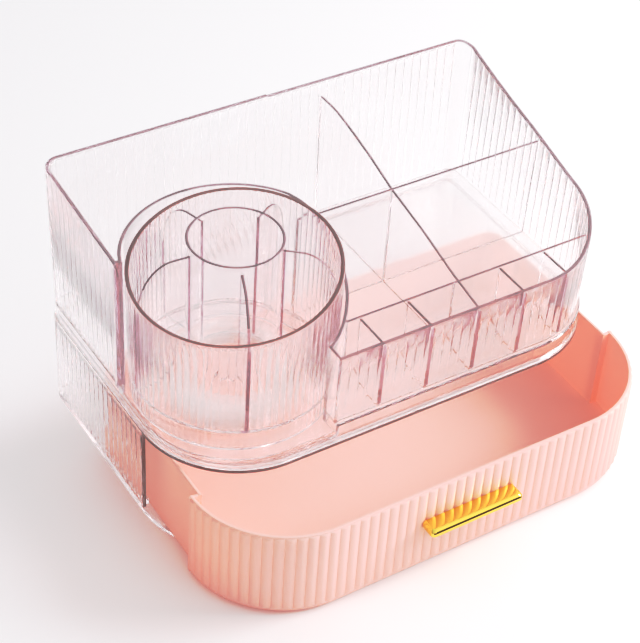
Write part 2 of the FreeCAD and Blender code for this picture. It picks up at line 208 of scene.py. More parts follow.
def rounded_path(half_w, front, back, r_front, r_back, step):
    """Closed counter-clockwise outline that starts in the middle of the front."""
    return joined(
        straight(0, front, half_w - r_front, front, step, left=False),
        arc(half_w - r_front, front + r_front, r_front, -90, 0, step),
        straight(half_w, front + r_front, half_w, back - r_back, step, left=False),
        arc(half_w - r_back, back - r_back, r_back, 0, 90, step),
        straight(half_w - r_back, back, r_back - half_w, back, step, left=False),
        arc(r_back - half_w, back - r_back, r_back, 90, 180, step),
        straight(-half_w, back - r_back, -half_w, front + r_front, step, left=False),
        arc(r_front - half_w, front + r_front, r_front, 180, 270, step),
        straight(r_front - half_w, front, 0, front, step, left=False),
    )


def lengths(path):
    """Distance of each point from the path's start."""
    out = [0.0]
    for a, b in zip(path, path[1:]):
        out.append(out[-1] + math.hypot(b[0] - a[0], b[1] - a[1]))
    return out


def round_rib(u, _pitch):
    """Height of a round rib at the share u of its pitch: 0 in the valley, 1 at the crest."""
    return abs(math.sin(math.pi * u)) ** 0.8


def flat_rib(u, pitch):
    """Height of a flat rib with a narrow groove each side."""
    away = min(u, 1 - u) * pitch / GROOVE_REACH
    return 1 - math.exp(-away * away)


def along(path, run, s):
    """Point and normal at the distance s along a path."""
    i = bisect.bisect_right(run, s) - 1
    i = min(max(i, 0), len(path) - 2)
    u = (s - run[i]) / max(run[i + 1] - run[i], 1e-9)
    x, y, nx, ny = (a + (b - a) * u for a, b in zip(path[i], path[i + 1]))
    size = math.hypot(nx, ny)
    return x, y, nx / size, ny / size


def rib_samples(path, pitch, shape, samples):
    """Points along a path, closest together in the grooves, each with its rib height."""
    run = lengths(path)
    count = max(1, round(run[-1] / pitch))
    fitted = run[-1] / count
    out = [(along(path, run, (k + u) * fitted), shape(u, fitted))
           for k in range(count) for u in samples]
    out.append((path[-1], shape(0.0, fitted)))
    return out


def blend_points(points, t):
    """Value at t on the straight lines between (t, value) points that rise in t."""
    if t <= points[0][0]:
        return points[0][1]
    for (t0, v0), (t1, v1) in zip(points, points[1:]):
        if t <= t1:
            u = (t - t0) / (t1 - t0)
            return v0 + (v1 - v0) * u
    return points[-1][1]


# ------------------------------------------------------------------ meshes
def new_object(name, verts, faces):
    mesh = bpy.data.meshes.new(name)
    mesh.from_pydata([(x * MM, y * MM, z * MM) for x, y, z in verts], [], faces)
    obj = bpy.data.objects.new(name, mesh)
    bpy.context.scene.collection.objects.link(obj)
    return tidy_mesh(obj)


def tidy_mesh(obj):
    """Welds doubled points and turns every face outwards."""
    bm = bmesh.new()
    bm.from_mesh(obj.data)
    bmesh.ops.remove_doubles(bm, verts=bm.verts, dist=2e-6)
    bmesh.ops.dissolve_degenerate(bm, edges=bm.edges, dist=1e-6)
    bmesh.ops.recalc_face_normals(bm, faces=bm.faces)
    bm.to_mesh(obj.data)
    bm.free()
    return obj


def join(obj, others):
    """obj with the other meshes added as they are."""
    bpy.ops.object.select_all(action="DESELECT")
    for each in [obj] + others:
        each.select_set(True)
    bpy.context.view_layer.objects.active = obj
    bpy.ops.object.join()
    return obj


def shade(obj, angle=SMOOTH_ANGLE):
    obj.data.shade_smooth()
    obj.data.set_sharp_from_angle(angle=angle)
    return obj


def sweep(name, sections, closed=False):
    """Solid through a row of loops that all have the same number of points."""
    n = len(sections[0])
    verts = [p for section in sections for p in section]
    faces = []
    rows = len(sections)
    for i in range(rows if closed else rows - 1):
        a, b = i * n, (i + 1) % rows * n
        for j in range(n):
            k = (j + 1) % n
            faces.append((a + j, a + k, b + k, b + j))
    if not closed:
        faces.append(tuple(range(n - 1, -1, -1)))
        faces.append(tuple((rows - 1) * n + j for j in range(n)))
    return new_object(name, verts, faces)


def stack(name, loops):
    """Solid through closed plan loops stacked in z, capped at both ends."""
    return sweep(name, loops)


def plate(name, outline, z0, z1, bevel=0.35):
    """Plate of a plan outline with softened edges. outline(inset) gives its loop."""
    levels = [(bevel, z0), (bevel * 0.3, z0 + bevel * 0.3), (0, z0 + bevel),
              (0, z1 - bevel), (bevel * 0.3, z1 - bevel * 0.3), (bevel, z1)]
    return stack(name, [[(x, y, z) for x, y in outline(inset)] for inset, z in levels])


def box(name, x0, x1, y0, y1, z0, z1, bevel=0.0):
    if bevel:
        loop = lambda i: [(x0 + i, y0 + i), (x1 - i, y0 + i), (x1 - i, y1 - i), (x0 + i, y1 - i)]
        return plate(name, loop, z0, z1, bevel)
    ring = [(x0, y0), (x1, y0), (x1, y1), (x0, y1)]
    return stack(name, [[(x, y, z) for x, y in ring] for z in (z0, z1)])


def lathe(name, profile, steps=ROUND_STEPS):
    """Ring about the cup's axis from a closed profile of (radius, z) points."""
    sections = []
    for i in range(steps):
        a = 2 * math.pi * i / steps
        sections.append([(CUP_X + r * math.cos(a), CUP_Y + r * math.sin(a), z) for r, z in profile])
    return sweep(name, sections, closed=True)


def disc(name, r, z0, z1, bevel=0.2):
    """Disc about the cup's axis."""
    def loop(inset):
        turns = [2 * math.pi * i / ROUND_STEPS for i in range(ROUND_STEPS)]
        return [(CUP_X + (r - inset) * math.cos(a), CUP_Y + (r - inset) * math.sin(a)) for a in turns]
    return plate(name, loop, z0, z1, bevel)


def combine(obj, others, operation):
    """obj with the other solids added, removed or kept in common; the others are used up."""
    for other in others:
        mod = obj.modifiers.new("b", "BOOLEAN")
        mod.operation = operation
        mod.solver = "MANIFOLD"
        mod.object = other
    bpy.context.view_layer.update()
    done = obj.evaluated_get(bpy.context.evaluated_depsgraph_get())
    mesh = bpy.data.meshes.new_from_object(done)
    mesh.name = obj.name
    obj.modifiers.clear()
    obj.data = mesh
    for other in others:
        bpy.data.objects.remove(other)
    return obj


# ------------------------------------------------------------------ reeded walls
def reeded_section(p, rib, wall, z_low, z_rib_low, z_rib_high, z_top, lean, depth):
    """One upright slice of a wall: ribs outside, smooth inside, softened rim.

    p is (x, y, nx, ny) on the wall's outer crest line, and lean(z) moves a point outwards.
    """
    x, y, nx, ny = p
    valley = -depth
    out = -depth * (1 - rib)
    soft = RIM_SOFT
    rows = [(valley, z_low), (valley, z_rib_low), ((valley + out) / 2, z_rib_low + RIB_END * 0.3),
            (out, z_rib_low + RIB_END), (out, z_rib_high - RIB_END),
            ((valley + out) / 2, z_rib_high - RIB_END * 0.3), (valley, z_rib_high),
            (valley, z_top - soft), (valley - soft * 0.3, z_top - soft * 0.3),
            (valley - soft, z_top), (soft - wall, z_top), (soft * 0.3 - wall, z_top - soft * 0.3),
            (-wall, z_top - soft), (-wall, z_low)]
    return [(x + nx * (d + lean(z)), y + ny * (d + lean(z)), z) for d, z in rows]


def reeded_wall(name, path, wall, heights, lean, pitch=RIB_PITCH, depth=GROOVE_DEPTH,
                shape=flat_rib, samples=GROOVE_SAMPLES, closed=False):
    """Wall along a path. heights(x, y) gives its four levels: foot, rib ends and rim."""
    sections = []
    for p, rib in rib_samples(path, pitch, shape, samples):
        low, rib_low, rib_high, top = heights(p[0], p[1])
        sections.append(reeded_section(p, rib, wall, low, rib_low, rib_high, top, lean, depth))
    if closed:
        sections.pop()
    return sweep(name, sections, closed)


# ------------------------------------------------------------------ housing
def housing_outline(inset):
    path = rounded_path(HOUSING_HALF_W - inset, inset - HOUSING_HALF_D, HOUSING_HALF_D - inset,
                        FRONT_R - inset, BACK_R - inset, 3.0)
    return [(x, y) for x, y, _, _ in path[:-1]]


def make_housing():
    step = PATH_STEP
    side = HOUSING_HALF_W
    back = HOUSING_HALF_D
    walls_path = joined(
        straight(side, SIDE_END_Y + WALL_END_GAP, side, back - BACK_R, step, left=False),
        arc(side - BACK_R, back - BACK_R, BACK_R, 0, 90, step),
        straight(side - BACK_R, back, BACK_R - side, back, step, left=False),
        arc(BACK_R - side, back - BACK_R, BACK_R, 90, 180, step),
        straight(-side, back - BACK_R, -side, SIDE_END_Y + WALL_END_GAP, step, left=False),
    )
    walls = reeded_wall("housing_walls", walls_path, HOUSING_WALL, lambda x, y: HOUSING_LEVELS,
                        lambda z: 0.0, pitch=HOUSING_RIB_PITCH)
    bottom = plate("bottom", housing_outline, 0.0, BOTTOM_T, 0.5)
    deck = plate("deck", housing_outline, DECK_UNDER, DECK_TOP, 0.5)
    lip_path = rounded_path(side - LIP_INSET, LIP_INSET - back, back - LIP_INSET,
                            FRONT_R - LIP_INSET, BACK_R - LIP_INSET, 2.0)
    soft = 0.4
    lip_rows = [(0, LIP_LOW), (0, LIP_TOP - soft), (-soft, LIP_TOP), (soft - LIP_T, LIP_TOP),
                (-LIP_T, LIP_TOP - soft), (-LIP_T, LIP_LOW)]
    lip = sweep("lip", [[(x + nx * d, y + ny * d, z) for d, z in lip_rows]
                        for x, y, nx, ny in lip_path[:-1]], closed=True)
    parts = [bottom, deck, lip]
    for sign in (-1, 1):
        x0, x1 = sorted(sign * x for x in RUNNER_X)
        parts.append(box("runner", x0, x1, SIDE_END_Y + 2, RUNNER_BACK, *RUNNER_Z, 0.4))
        x0, x1 = sorted(sign * x for x in STOP_X)
        parts.append(box("stop", x0, x1, *STOP_Y, *STOP_Z))
    return shade(combine(walls, parts, "UNION"))


# ------------------------------------------------------------------ tray
RIGHT_RIM = [(-88, 126.7), (-85.9, 127.1), (-81.7, 128.2), (-74, 130.8), (-64, 134.3),
             (-53.9, 137.2), (-41.9, 139.6), (-28.6, 142.0), (-10.8, 147.0), (14, 154.3),
             (39, 160.6), (57.8, 166.1), (70, 169.9), (80, 173.2), (86.5, 175.8), (90, 177.6),
             (92, TRAY_TOP)]
MAIN_RIM = [(-88, 125.6), (-61.5, 131.2), (-25.9, 141.4), (8.2, 149.1), (31.7, 156.9),
            (51.9, 162.3), (62.8, 164.8), (70, 166.2), (77.3, 166.9), (92, 166.9)]


def tray_lean(z):
    return TRAY_DRAFT * (z - TRAY_FLOOR) / (TRAY_TOP - TRAY_FLOOR)


def tray_rim(x, y):
    if x < CUP_X:
        return LEFT_END_TOP + (TRAY_TOP - LEFT_END_TOP) * (y - LEFT_END_Y) / (TRAY_BACK - LEFT_END_Y)
    if x < 0 and y > 0:
        return TRAY_TOP
    return blend_points(RIGHT_RIM, y)


def tray_heights(x, y):
    top = tray_rim(x, y)
    return TRAY_WALL_FOOT, TRAY_FLOOR + 0.6, top - 2.4, top


def tray_path(inset, step):
    half_w, back = TRAY_HALF_W - inset, TRAY_BACK - inset
    r_front, r_back = TRAY_FRONT_R - inset, BACK_R - inset
    front = TRAY_FRONT + inset
    return joined(
        straight(STUB_X, front, half_w - r_front, front, step, left=False),
        arc(half_w - r_front, front + r_front, r_front, -90, 0, step),
        straight(half_w, front + r_front, half_w, back - r_back, step, left=False),
        arc(half_w - r_back, back - r_back, r_back, 0, 90, step),
        straight(half_w - r_back, back, r_back - half_w, back, step, left=False),
        arc(r_back - half_w, back - r_back, r_back, 90, 180, step),
        straight(-half_w, back - r_back, -half_w, LEFT_END_Y, step, left=False),
    )


def inside_solid():
    """Space up to the middle of the outer walls, without the cup's corner."""
    full = rounded_path(TRAY_HALF_W, TRAY_FRONT, TRAY_BACK, TRAY_FRONT_R, BACK_R, 2.0)[:-1]
    loops = []
    for z in (TRAY_FLOOR - 1.2, TRAY_TOP + 5):
        d = tray_lean(z) - TRAY_WALL / 2
        loops.append([(x + nx * d, y + ny * d, z) for x, y, nx, ny in full])
    inside = stack("inside", loops)
    keep_out = [disc("cup_space", RECESS_R + RECESS_T / 2, 50, 260, bevel=0.01),
                box("corner", -200, STUB_X + 1, -200, LEFT_END_Y - 20, 50, 260)]
    return combine(inside, keep_out, "DIFFERENCE")


def divider_section(x, y, nx, ny, top):
    """Slice across a divider: thin at its rounded rim, a little thicker at its foot."""
    h = DIVIDER_T / 2
    rows = [(h + 0.25, TRAY_FLOOR - 1), (h, top - 0.5), (h * 0.6, top - 0.12), (0, top),
            (-h * 0.6, top - 0.12), (-h, top - 0.5), (-h - 0.25, TRAY_FLOOR - 1)]
    return [(x + nx * d, y + ny * d, z) for d, z in rows]


def tray_dividers():
    main = sweep("main_divider", [divider_section(MAIN_X, y, 1, 0, blend_points(MAIN_RIM, y))
                                  for y in range(-94, 96, 2)])
    others = [sweep("back_cross", [divider_section(x, BACK_CROSS_Y, 0, 1, BACK_CROSS_TOP)
                                   for x in (-60, 156)]),
              sweep("front_cross", [divider_section(x, FRONT_CROSS_Y, 0, 1, FRONT_WALL_TOP)
                                    for x in (-70, 152)])]
    for n in (-2, -1, 1, 2):
        x = MAIN_X + n * CELL_PITCH
        others.append(sweep("cell", [divider_section(x, y, 1, 0, FRONT_WALL_TOP - 1.2)
                                     for y in (-92, FRONT_CROSS_Y)]))
    grid = combine(main, others, "UNION")
    return combine(grid, [inside_solid()], "INTERSECT")


def recess_top(x, y):
    """Rim of the round wall: level behind the cup, sloping down on its right."""
    a = math.degrees(math.atan2(y - CUP_Y, x - CUP_X))
    return blend_points([(-62, 126.7), (-55, 127.5), (-45, 130.5), (-30, 137), (-8, 145.2),
                         (-2.5, 148), (3, 152), (8, 156), (13, 159.3), (17.5, 161.6), (25, 164),
                         (32, 165.3), (40, 165.6), (150, 165.6), (163, LEFT_END_TOP)], a)


def recess_wall():
    path = arc(CUP_X, CUP_Y, RECESS_R, -62.5, 162.0, 1.6)
    low = PLATFORM_TOP - 1.0
    sections = []
    for x, y, nx, ny in path:
        top = recess_top(x, y)
        rows = [(0, low), (0, top - 0.4), (0.4, top), (RECESS_T - 0.4, top),
                (RECESS_T, top - 0.4), (RECESS_T, low)]
        sections.append([(x + nx * d, y + ny * d, z) for d, z in rows])
    return sweep("recess_wall", sections)


def skirt_outline(inset):
    path = rounded_path(SKIRT_HALF_W - inset, inset - SKIRT_HALF_D, SKIRT_HALF_D - inset,
                        SKIRT_FRONT_R - inset, BACK_R - inset, 2.0)
    return path[:-1]


def tray_base():
    low = DECK_TOP + SLIM
    rows = [(0, low), (0, TRAY_FLOOR - SKIRT_CHAMFER), (-SKIRT_CHAMFER, TRAY_FLOOR),
            (-SKIRT_T, TRAY_FLOOR), (-SKIRT_T, low)]
    skirt = sweep("skirt", [[(x + nx * d, y + ny * d, z) for d, z in rows]
                            for x, y, nx, ny in skirt_outline(0)], closed=True)
    floor = plate("floor", lambda i: [(x, y) for x, y, _, _ in skirt_outline(1 + i)],
                  TRAY_FLOOR - TRAY_FLOOR_T, TRAY_FLOOR, 0.2)
    open_corner = box("corner", -200, STUB_X, -200, LEFT_END_Y - 0.2, SKIRT_TOP, 200)
    base = combine(skirt, [floor], "UNION")
    base = combine(base, [open_corner, disc("well", RECESS_R + 0.5, SKIRT_TOP - 0.2, 200)],
                   "DIFFERENCE")
    platform = plate("platform", lambda i: [(x, y) for x, y, _, _ in skirt_outline(1 + i)],
                     PLATFORM_TOP - 2.0, PLATFORM_TOP, 0.2)
    keep = [box("keep", -200, STUB_X + 1, -200, LEFT_END_Y, 40, 90)]
    keep[0] = combine(keep[0], [disc("keep_round", RECESS_R + 1, 40.5, 89.5)], "UNION")
    platform = combine(platform, keep, "INTERSECT")
    return combine(base, [platform], "UNION")


def front_wall_y(x):
    """Middle of the front wall at its foot, rounding back at the right corner."""
    corner_x = TRAY_HALF_W - TRAY_FRONT_R
    middle = TRAY_FRONT + TRAY_WALL / 2
    if x < corner_x:
        return middle
    r = TRAY_FRONT_R - TRAY_WALL / 2
    return TRAY_FRONT + TRAY_FRONT_R - math.sqrt(r * r - (x - corner_x) ** 2)


def divider_seams():
    """Dense bars inside the front wall where the dividers run into it."""
    seams = []
    for n in (-2, -1, 0, 1, 2):
        x = MAIN_X + n * CELL_PITCH
        loops = []
        for z in (TRAY_FLOOR + 2, FRONT_WALL_TOP - 3):
            y = front_wall_y(x) - TRAY_WALL / 2 - FRONT_LEAN * tray_lean(z)
            loops.append([(x + dx * SEAM_W / 2, y + dy, z)
                          for dx, dy in ((-1, 0), (1, 0), (1, SEAM_T), (-1, SEAM_T))])
        seams.append(stack("seam", loops))
    return seams


def make_tray():
    walls = reeded_wall("upper_tray_visual", tray_path(0, PATH_STEP), TRAY_WALL,
                        tray_heights, tray_lean)
    stub_y = CUP_Y - math.sqrt(RECESS_R ** 2 - (STUB_X - CUP_X) ** 2)
    low = PLATFORM_TOP - 1.0
    stub = box("stub", STUB_X, STUB_X + STUB_T, TRAY_FRONT - 0.3, stub_y + 1, low, FRONT_WALL_TOP, 0.4)
    post_x = CUP_X - math.sqrt(RECESS_R ** 2 - (LEFT_END_Y - CUP_Y) ** 2)
    post = box("post", -TRAY_HALF_W - 1.2, post_x, LEFT_END_Y, LEFT_END_Y + TRAY_WALL,
               TRAY_WALL_FOOT, LEFT_END_TOP - 0.2, 0.5)
    pivot = lathe("pivot", [(PIVOT_HOLE_R, low), (PIVOT_R, low), (PIVOT_R, PIVOT_TOP),
                            (PIVOT_HOLE_R, PIVOT_TOP)])
    parts = [tray_base(), tray_dividers(), recess_wall(), stub, post, pivot]
    return shade(combine(walls, parts, "UNION"))


# ------------------------------------------------------------------ rotating cup
def rim_height(x, y):
    return CUP_RIM + RIM_SLOPE_X * (x - CUP_X) + RIM_SLOPE_Y * (y - CUP_Y)


def cup_lean(z):
    return (CUP_R_HIGH - CUP_R_LOW) * (z - CUP_BOTTOM) / (TUBE_TOP - CUP_BOTTOM)


def cup_fin(angle):
    a = math.radians(angle)
    reach, drop = FIN_OUTER_R - FIN_BEND_R, FIN_TOP - FIN_END
    tops = [(TUBE_R - 0.9, FIN_TOP), (TUBE_R + 4, FIN_TOP)]
    for i in range(FIN_BEND_STEPS + 1):
        t = math.pi / 2 * i / FIN_BEND_STEPS
        tops.append((FIN_BEND_R + reach * math.sin(t), FIN_END + drop * math.cos(t)))
    tops.append((CUP_R_LOW - 1.5, FIN_END - 1))
    side, up = Vector((-math.sin(a), math.cos(a), 0)), Vector((math.cos(a), math.sin(a), 0))
    sections = []
    for r, top in tops:
        h = FIN_T / 2
        rows = [(h, CUP_FLOOR - 1), (h, top - 0.4), (h * 0.5, top), (-h * 0.5, top),
                (-h, top - 0.4), (-h, CUP_FLOOR - 1)]
        sections.append([tuple(Vector((CUP_X, CUP_Y, z)) + up * r + side * d) for d, z in rows])
    return sweep("fin", sections)


def fin_seams():
    """Dense bars where the fins run into the tube and into the cup's wall."""
    seams = []
    for n in range(FIN_COUNT):
        a = math.radians(FIN_FIRST_ANGLE + 360 / FIN_COUNT * n)
        out, side = Vector((math.cos(a), math.sin(a), 0)), Vector((-math.sin(a), math.cos(a), 0))
        for r, high in ((TUBE_R - 0.3, FIN_TOP), (CUP_R_LOW - 1.4, FIN_END - 2)):
            loops = []
            for z in (CUP_FLOOR + 1, high):
                at = Vector((CUP_X, CUP_Y, z))
                lean = cup_lean(z) if r > TUBE_R else 0
                loops.append([tuple(at + out * (r + lean + u) + side * v * FIN_SEAM_HALF_W)
                              for u, v in ((0, -1), (SEAM_T, -1), (SEAM_T, 1), (0, 1))])
            seams.append(stack("fin_seam", loops))
    return seams


def make_cup():
    path = arc(CUP_X, CUP_Y, CUP_R_LOW, 0, 360, PATH_STEP)
    walls = reeded_wall("rotating_cup_visual", path, CUP_WALL,
                        lambda x, y: (CUP_BOTTOM, CUP_BOTTOM + 1.6, rim_height(x, y) - 1.6,
                                      rim_height(x, y)), cup_lean, pitch=CUP_RIB_PITCH,
                        closed=True)
    floor = disc("cup_floor", CUP_R_LOW - 1.3, CUP_FLOOR - 2, CUP_FLOOR)
    inner, foot = TUBE_R - TUBE_WALL, CUP_FLOOR - 1.5
    tube = lathe("tube", [(inner, foot), (TUBE_R, foot), (TUBE_R, TUBE_TOP - 0.5),
                          (TUBE_R - 0.4, TUBE_TOP), (inner + 0.4, TUBE_TOP),
                          (inner, TUBE_TOP - 0.5)], steps=TUBE_STEPS)
    hub = disc("hub", HUB_R, HUB_LOW, CUP_FLOOR - 0.2)
    parts = [floor, tube, hub]
    parts += [cup_fin(FIN_FIRST_ANGLE + 360 / FIN_COUNT * n) for n in range(FIN_COUNT)]
    cup = combine(walls, parts, "UNION")
    return shade(combine(cup, [disc("bore", BORE_R, 70, 90, bevel=0.01)], "DIFFERENCE"))


# ------------------------------------------------------------------ drawer
def drawer_shell_path(inset, step):
    """Front shell from its left end round to its right end."""
    side, front = HOUSING_HALF_W - inset, DRAWER_FRONT + inset
    r = FRONT_R - inset
    return joined(
        arc(FRONT_R - HOUSING_HALF_W, front + r, r, 180, 270, step),
        straight(r - side, front, side - r, front, step, left=False),
        arc(HOUSING_HALF_W - FRONT_R, front + r, r, 270, 360, step),
    )


def make_drawer():
    shell = reeded_wall("drawer_visual", drawer_shell_path(0, PATH_STEP), DRAWER_SHELL,
                        lambda x, y: (DRAWER_LOW, DRAWER_RIB_LOW, DRAWER_TOP - 0.9, DRAWER_TOP),
                        lambda z: 0.0, pitch=DRAWER_RIB_PITCH, depth=DRAWER_RIB_DEPTH,
                        shape=round_rib, samples=ROUND_SAMPLES)
    end_y = SIDE_END_Y - DRAWER_OPEN
    back, half_w, r_back = DRAWER_BACK, DRAWER_HALF_W, DRAWER_BACK_R
    body_path = joined(
        straight(half_w, end_y - 2, half_w, back - r_back, 4.0, left=False),
        arc(half_w - r_back, back - r_back, r_back, 0, 90, 1.0),
        straight(half_w - r_back, back, r_back - half_w, back, 4.0, left=False),
        arc(r_back - half_w, back - r_back, r_back, 90, 180, 1.0),
        straight(-half_w, back - r_back, -half_w, end_y - 2, 4.0, left=False),
    )
    soft = 0.5
    rows = [(0, DRAWER_LOW), (0, DRAWER_TOP - soft), (-soft, DRAWER_TOP),
            (soft - DRAWER_WALL, DRAWER_TOP), (-DRAWER_WALL, DRAWER_TOP - soft),
            (-DRAWER_WALL, DRAWER_LOW)]
    body = sweep("body", [[(x + nx * d, y + ny * d, z) for d, z in rows]
                          for x, y, nx, ny in body_path])
    floor_outline = [(x, y) for x, y, _, _ in drawer_shell_path(1.5, 2.0)]
    floor_outline.append((half_w - 1, end_y))
    floor_outline += [(x - nx, y - ny) for x, y, nx, ny in body_path if y > end_y]
    floor_outline.append((1 - half_w, end_y))
    floor = stack("floor", [[(x, y, z) for x, y in floor_outline]
                            for z in (DRAWER_LOW, DRAWER_FLOOR)])
    parts = [body, floor]
    for sign in (-1, 1):
        x0, x1 = sorted(sign * x for x in FLANGE_X)
        parts.append(box("flange", x0, x1, end_y - 2, end_y, DRAWER_LOW, DRAWER_TOP - 0.3, 0.3))
        x0, x1 = sorted(sign * x for x in STOP_X)
        parts.append(box("tab", x0, x1, back - DRAWER_WALL, back, *TAB_Z))
    return shade(combine(shell, parts, "UNION"))


def make_handle():
    front, back = DRAWER_FRONT - HANDLE_DEPTH, DRAWER_FRONT + 0.2
    low, high, c = HANDLE_LOW, HANDLE_HIGH, HANDLE_CHAMFER

    def loop(inset, z):
        end, face = HANDLE_HALF_L - inset, front + inset
        return [(-end, back, z), (-end, face + c, z), (-end + c, face, z), (end - c, face, z),
                (end, face + c, z), (end, back, z)]
    bar = stack("drawer_handle_visual", [loop(c, low), loop(0, low + c), loop(0, high - c),
                                         loop(c, high)])
    mod = bar.modifiers.new("soft", "BEVEL")
    mod.width = HANDLE_BEVEL * MM
    mod.segments = 3
    mod.limit_method = "ANGLE"
    mod.angle_limit = math.radians(20)
    bpy.context.view_layer.update()
    done = bar.evaluated_get(bpy.context.evaluated_depsgraph_get())
    bar.data = bpy.data.meshes.new_from_object(done)
    bar.modifiers.clear()
    return shade(bar, math.radians(50))


# ------------------------------------------------------------------ materials
def material(name):
    mat = bpy.data.materials.new(name)
    mat.use_nodes = True
    mat.node_tree.nodes.clear()
    return mat, mat.node_tree.nodes, mat.node_tree.links


def bump(nodes, links, scale, strength, distance, detail=3.0):
    """Fine surface noise: its bump node and the noise that drives it."""
    coords = nodes.new("ShaderNodeTexCoord")
    noise = nodes.new("ShaderNodeTexNoise")
    noise.inputs["Scale"].default_value = scale
    noise.inputs["Detail"].default_value = detail
    node = nodes.new("ShaderNodeBump")
    node.inputs["Strength"].default_value = strength
    node.inputs["Distance"].default_value = distance
    links.new(coords.outputs["Object"], noise.inputs["Vector"])
    links.new(noise.outputs["Fac"], node.inputs["Height"])
    return node, noise


def clear_plastic(name, roughness=0.0, haze=0.0, milk_kind="ShaderNodeBsdfTranslucent"):
    """Clear styrene with a faint mauve tint. Light passes through it to the drawer."""
    mat, nodes, links = material(name)
    out = nodes.new("ShaderNodeOutputMaterial")
    glass = nodes.new("ShaderNodeBsdfGlass")
    glass.inputs["IOR"].default_value = 1.50
    glass.inputs["Roughness"].default_value = roughness
    glass.inputs["Color"].default_value = (0.995, 0.990, 0.992, 1)
    wave, _ = bump(nodes, links, 22, 0.012, 0.0005, 1.0)
    links.new(wave.outputs["Normal"], glass.inputs["Normal"])
    through = nodes.new("ShaderNodeBsdfTransparent")
    through.inputs["Color"].default_value = (0.998, 0.996, 0.997, 1)
    path = nodes.new("ShaderNodeLightPath")
    either = nodes.new("ShaderNodeMath")
    either.operation = "MAXIMUM"
    mix = nodes.new("ShaderNodeMixShader")
    links.new(path.outputs["Is Shadow Ray"], either.inputs[0])
    links.new(path.outputs["Is Diffuse Ray"], either.inputs[1])
    milk = nodes.new(milk_kind)
    milk.inputs["Color"].default_value = (1, 0.98, 0.98, 1)
    body = nodes.new("ShaderNodeMixShader")
    body.inputs["Fac"].default_value = haze
    links.new(glass.outputs[0], body.inputs[1])
    links.new(milk.outputs[0], body.inputs[2])
    links.new(either.outputs[0], mix.inputs["Fac"])
    links.new(body.outputs[0], mix.inputs[1])
    links.new(through.outputs[0], mix.inputs[2])
    links.new(mix.outputs[0], out.inputs["Surface"])
    return mat


def edge_plastic(name, colour, clearest, densest):
    """Darker, partly see-through colour for the narrow edges of the clear pieces: the plastic's own
    tint seen edge-on, with painted shade for the darkening that light running inside the tinted
    plastic gives these edges.
    """
    mat, nodes, links, shader = principled(name, colour, 0.3, specular=0.2)
    node, noise = bump(nodes, links, 260, 0.25, 0.0002, 2.0)
    links.new(node.outputs["Normal"], shader.inputs["Normal"])
    shade_ramp = nodes.new("ShaderNodeMapRange")
    shade_ramp.inputs["To Min"].default_value = clearest
    shade_ramp.inputs["To Max"].default_value = densest
    links.new(noise.outputs["Fac"], shade_ramp.inputs["Value"])
    glassy = nodes.new("ShaderNodeBsdfTransparent")
    glassy.inputs["Color"].default_value = (0.84, 0.76, 0.79, 1)
    mix = nodes.new("ShaderNodeMixShader")
    out = [n for n in nodes if n.type == "OUTPUT_MATERIAL"][0]
    links.new(shade_ramp.outputs["Result"], mix.inputs["Fac"])
    links.new(shader.outputs[0], mix.inputs[1])
    links.new(glassy.outputs[0], mix.inputs[2])
    links.new(mix.outputs[0], out.inputs["Surface"])
    return mat


def principled(name, colour, roughness, metallic=0.0, specular=0.5):
    mat, nodes, links = material(name)
    out = nodes.new("ShaderNodeOutputMaterial")
    shader = nodes.new("ShaderNodeBsdfPrincipled")
    shader.inputs["Base Color"].default_value = (*colour, 1)
    shader.inputs["Roughness"].default_value = roughness
    shader.inputs["Metallic"].default_value = metallic
    shader.inputs["Specular IOR Level"].default_value = specular
    links.new(shader.outputs[0], out.inputs["Surface"])
    return mat, nodes, links, shader


PINK_LETS_THROUGH = 0.50         # share of the key light that crosses one face of the thin pink walls


def pink_plastic():
    """Opaque-looking pink plastic that glows orange where light shines through its thin walls."""
    mat, nodes, links, shader = principled("pink_plastic", (0.985, 0.72, 0.68), 0.28)
    node, noise = bump(nodes, links, 900, 0.10, 0.00006, 4.0)
    links.new(node.outputs["Normal"], shader.inputs["Normal"])
    ramp = nodes.new("ShaderNodeMapRange")
    ramp.inputs["To Min"].default_value = 0.24
    ramp.inputs["To Max"].default_value = 0.36
    links.new(noise.outputs["Fac"], ramp.inputs["Value"])
    links.new(ramp.outputs["Result"], shader.inputs["Roughness"])
    glow = nodes.new("ShaderNodeBsdfTranslucent")
    glow.inputs["Color"].default_value = (1.0, 0.67, 0.50, 1)
    mix = nodes.new("ShaderNodeMixShader")
    mix.inputs["Fac"].default_value = 0.28
    out = [n for n in nodes if n.type == "OUTPUT_MATERIAL"][0]
    links.new(shader.outputs[0], mix.inputs[1])
    links.new(glow.outputs[0], mix.inputs[2])
    passing = nodes.new("ShaderNodeBsdfTransparent")
    passing.inputs["Color"].default_value = (1.0, 0.58, 0.42, 1)
    path = nodes.new("ShaderNodeLightPath")
    share = nodes.new("ShaderNodeMath")
    share.operation = "MULTIPLY"
    share.inputs[1].default_value = PINK_LETS_THROUGH
    thin = nodes.new("ShaderNodeMixShader")
    links.new(path.outputs["Is Shadow Ray"], share.inputs[0])
    links.new(share.outputs[0], thin.inputs["Fac"])
    links.new(mix.outputs[0], thin.inputs[1])
    links.new(passing.outputs[0], thin.inputs[2])
    links.new(thin.outputs[0], out.inputs["Surface"])
    return mat


def gold_plating():
    mat, nodes, links, shader = principled("gold_plating", (1.0, 0.76, 0.17), 0.06, 1.0)
    node, _ = bump(nodes, links, 60, 0.10, 0.0003, 1.0)
    links.new(node.outputs["Normal"], shader.inputs["Normal"])
    return mat


def gold_painted_reflection():
    """Dark gold for a painted reflection: the handle's dark reflection line, painted on its rounding.
    """
    mat, nodes, links, shader = principled("gold_painted_reflection", (0.10, 0.055, 0.01), 0.25, 0.6)
    node, _ = bump(nodes, links, 60, 0.10, 0.0003, 1.0)
    links.new(node.outputs["Normal"], shader.inputs["Normal"])
    return mat


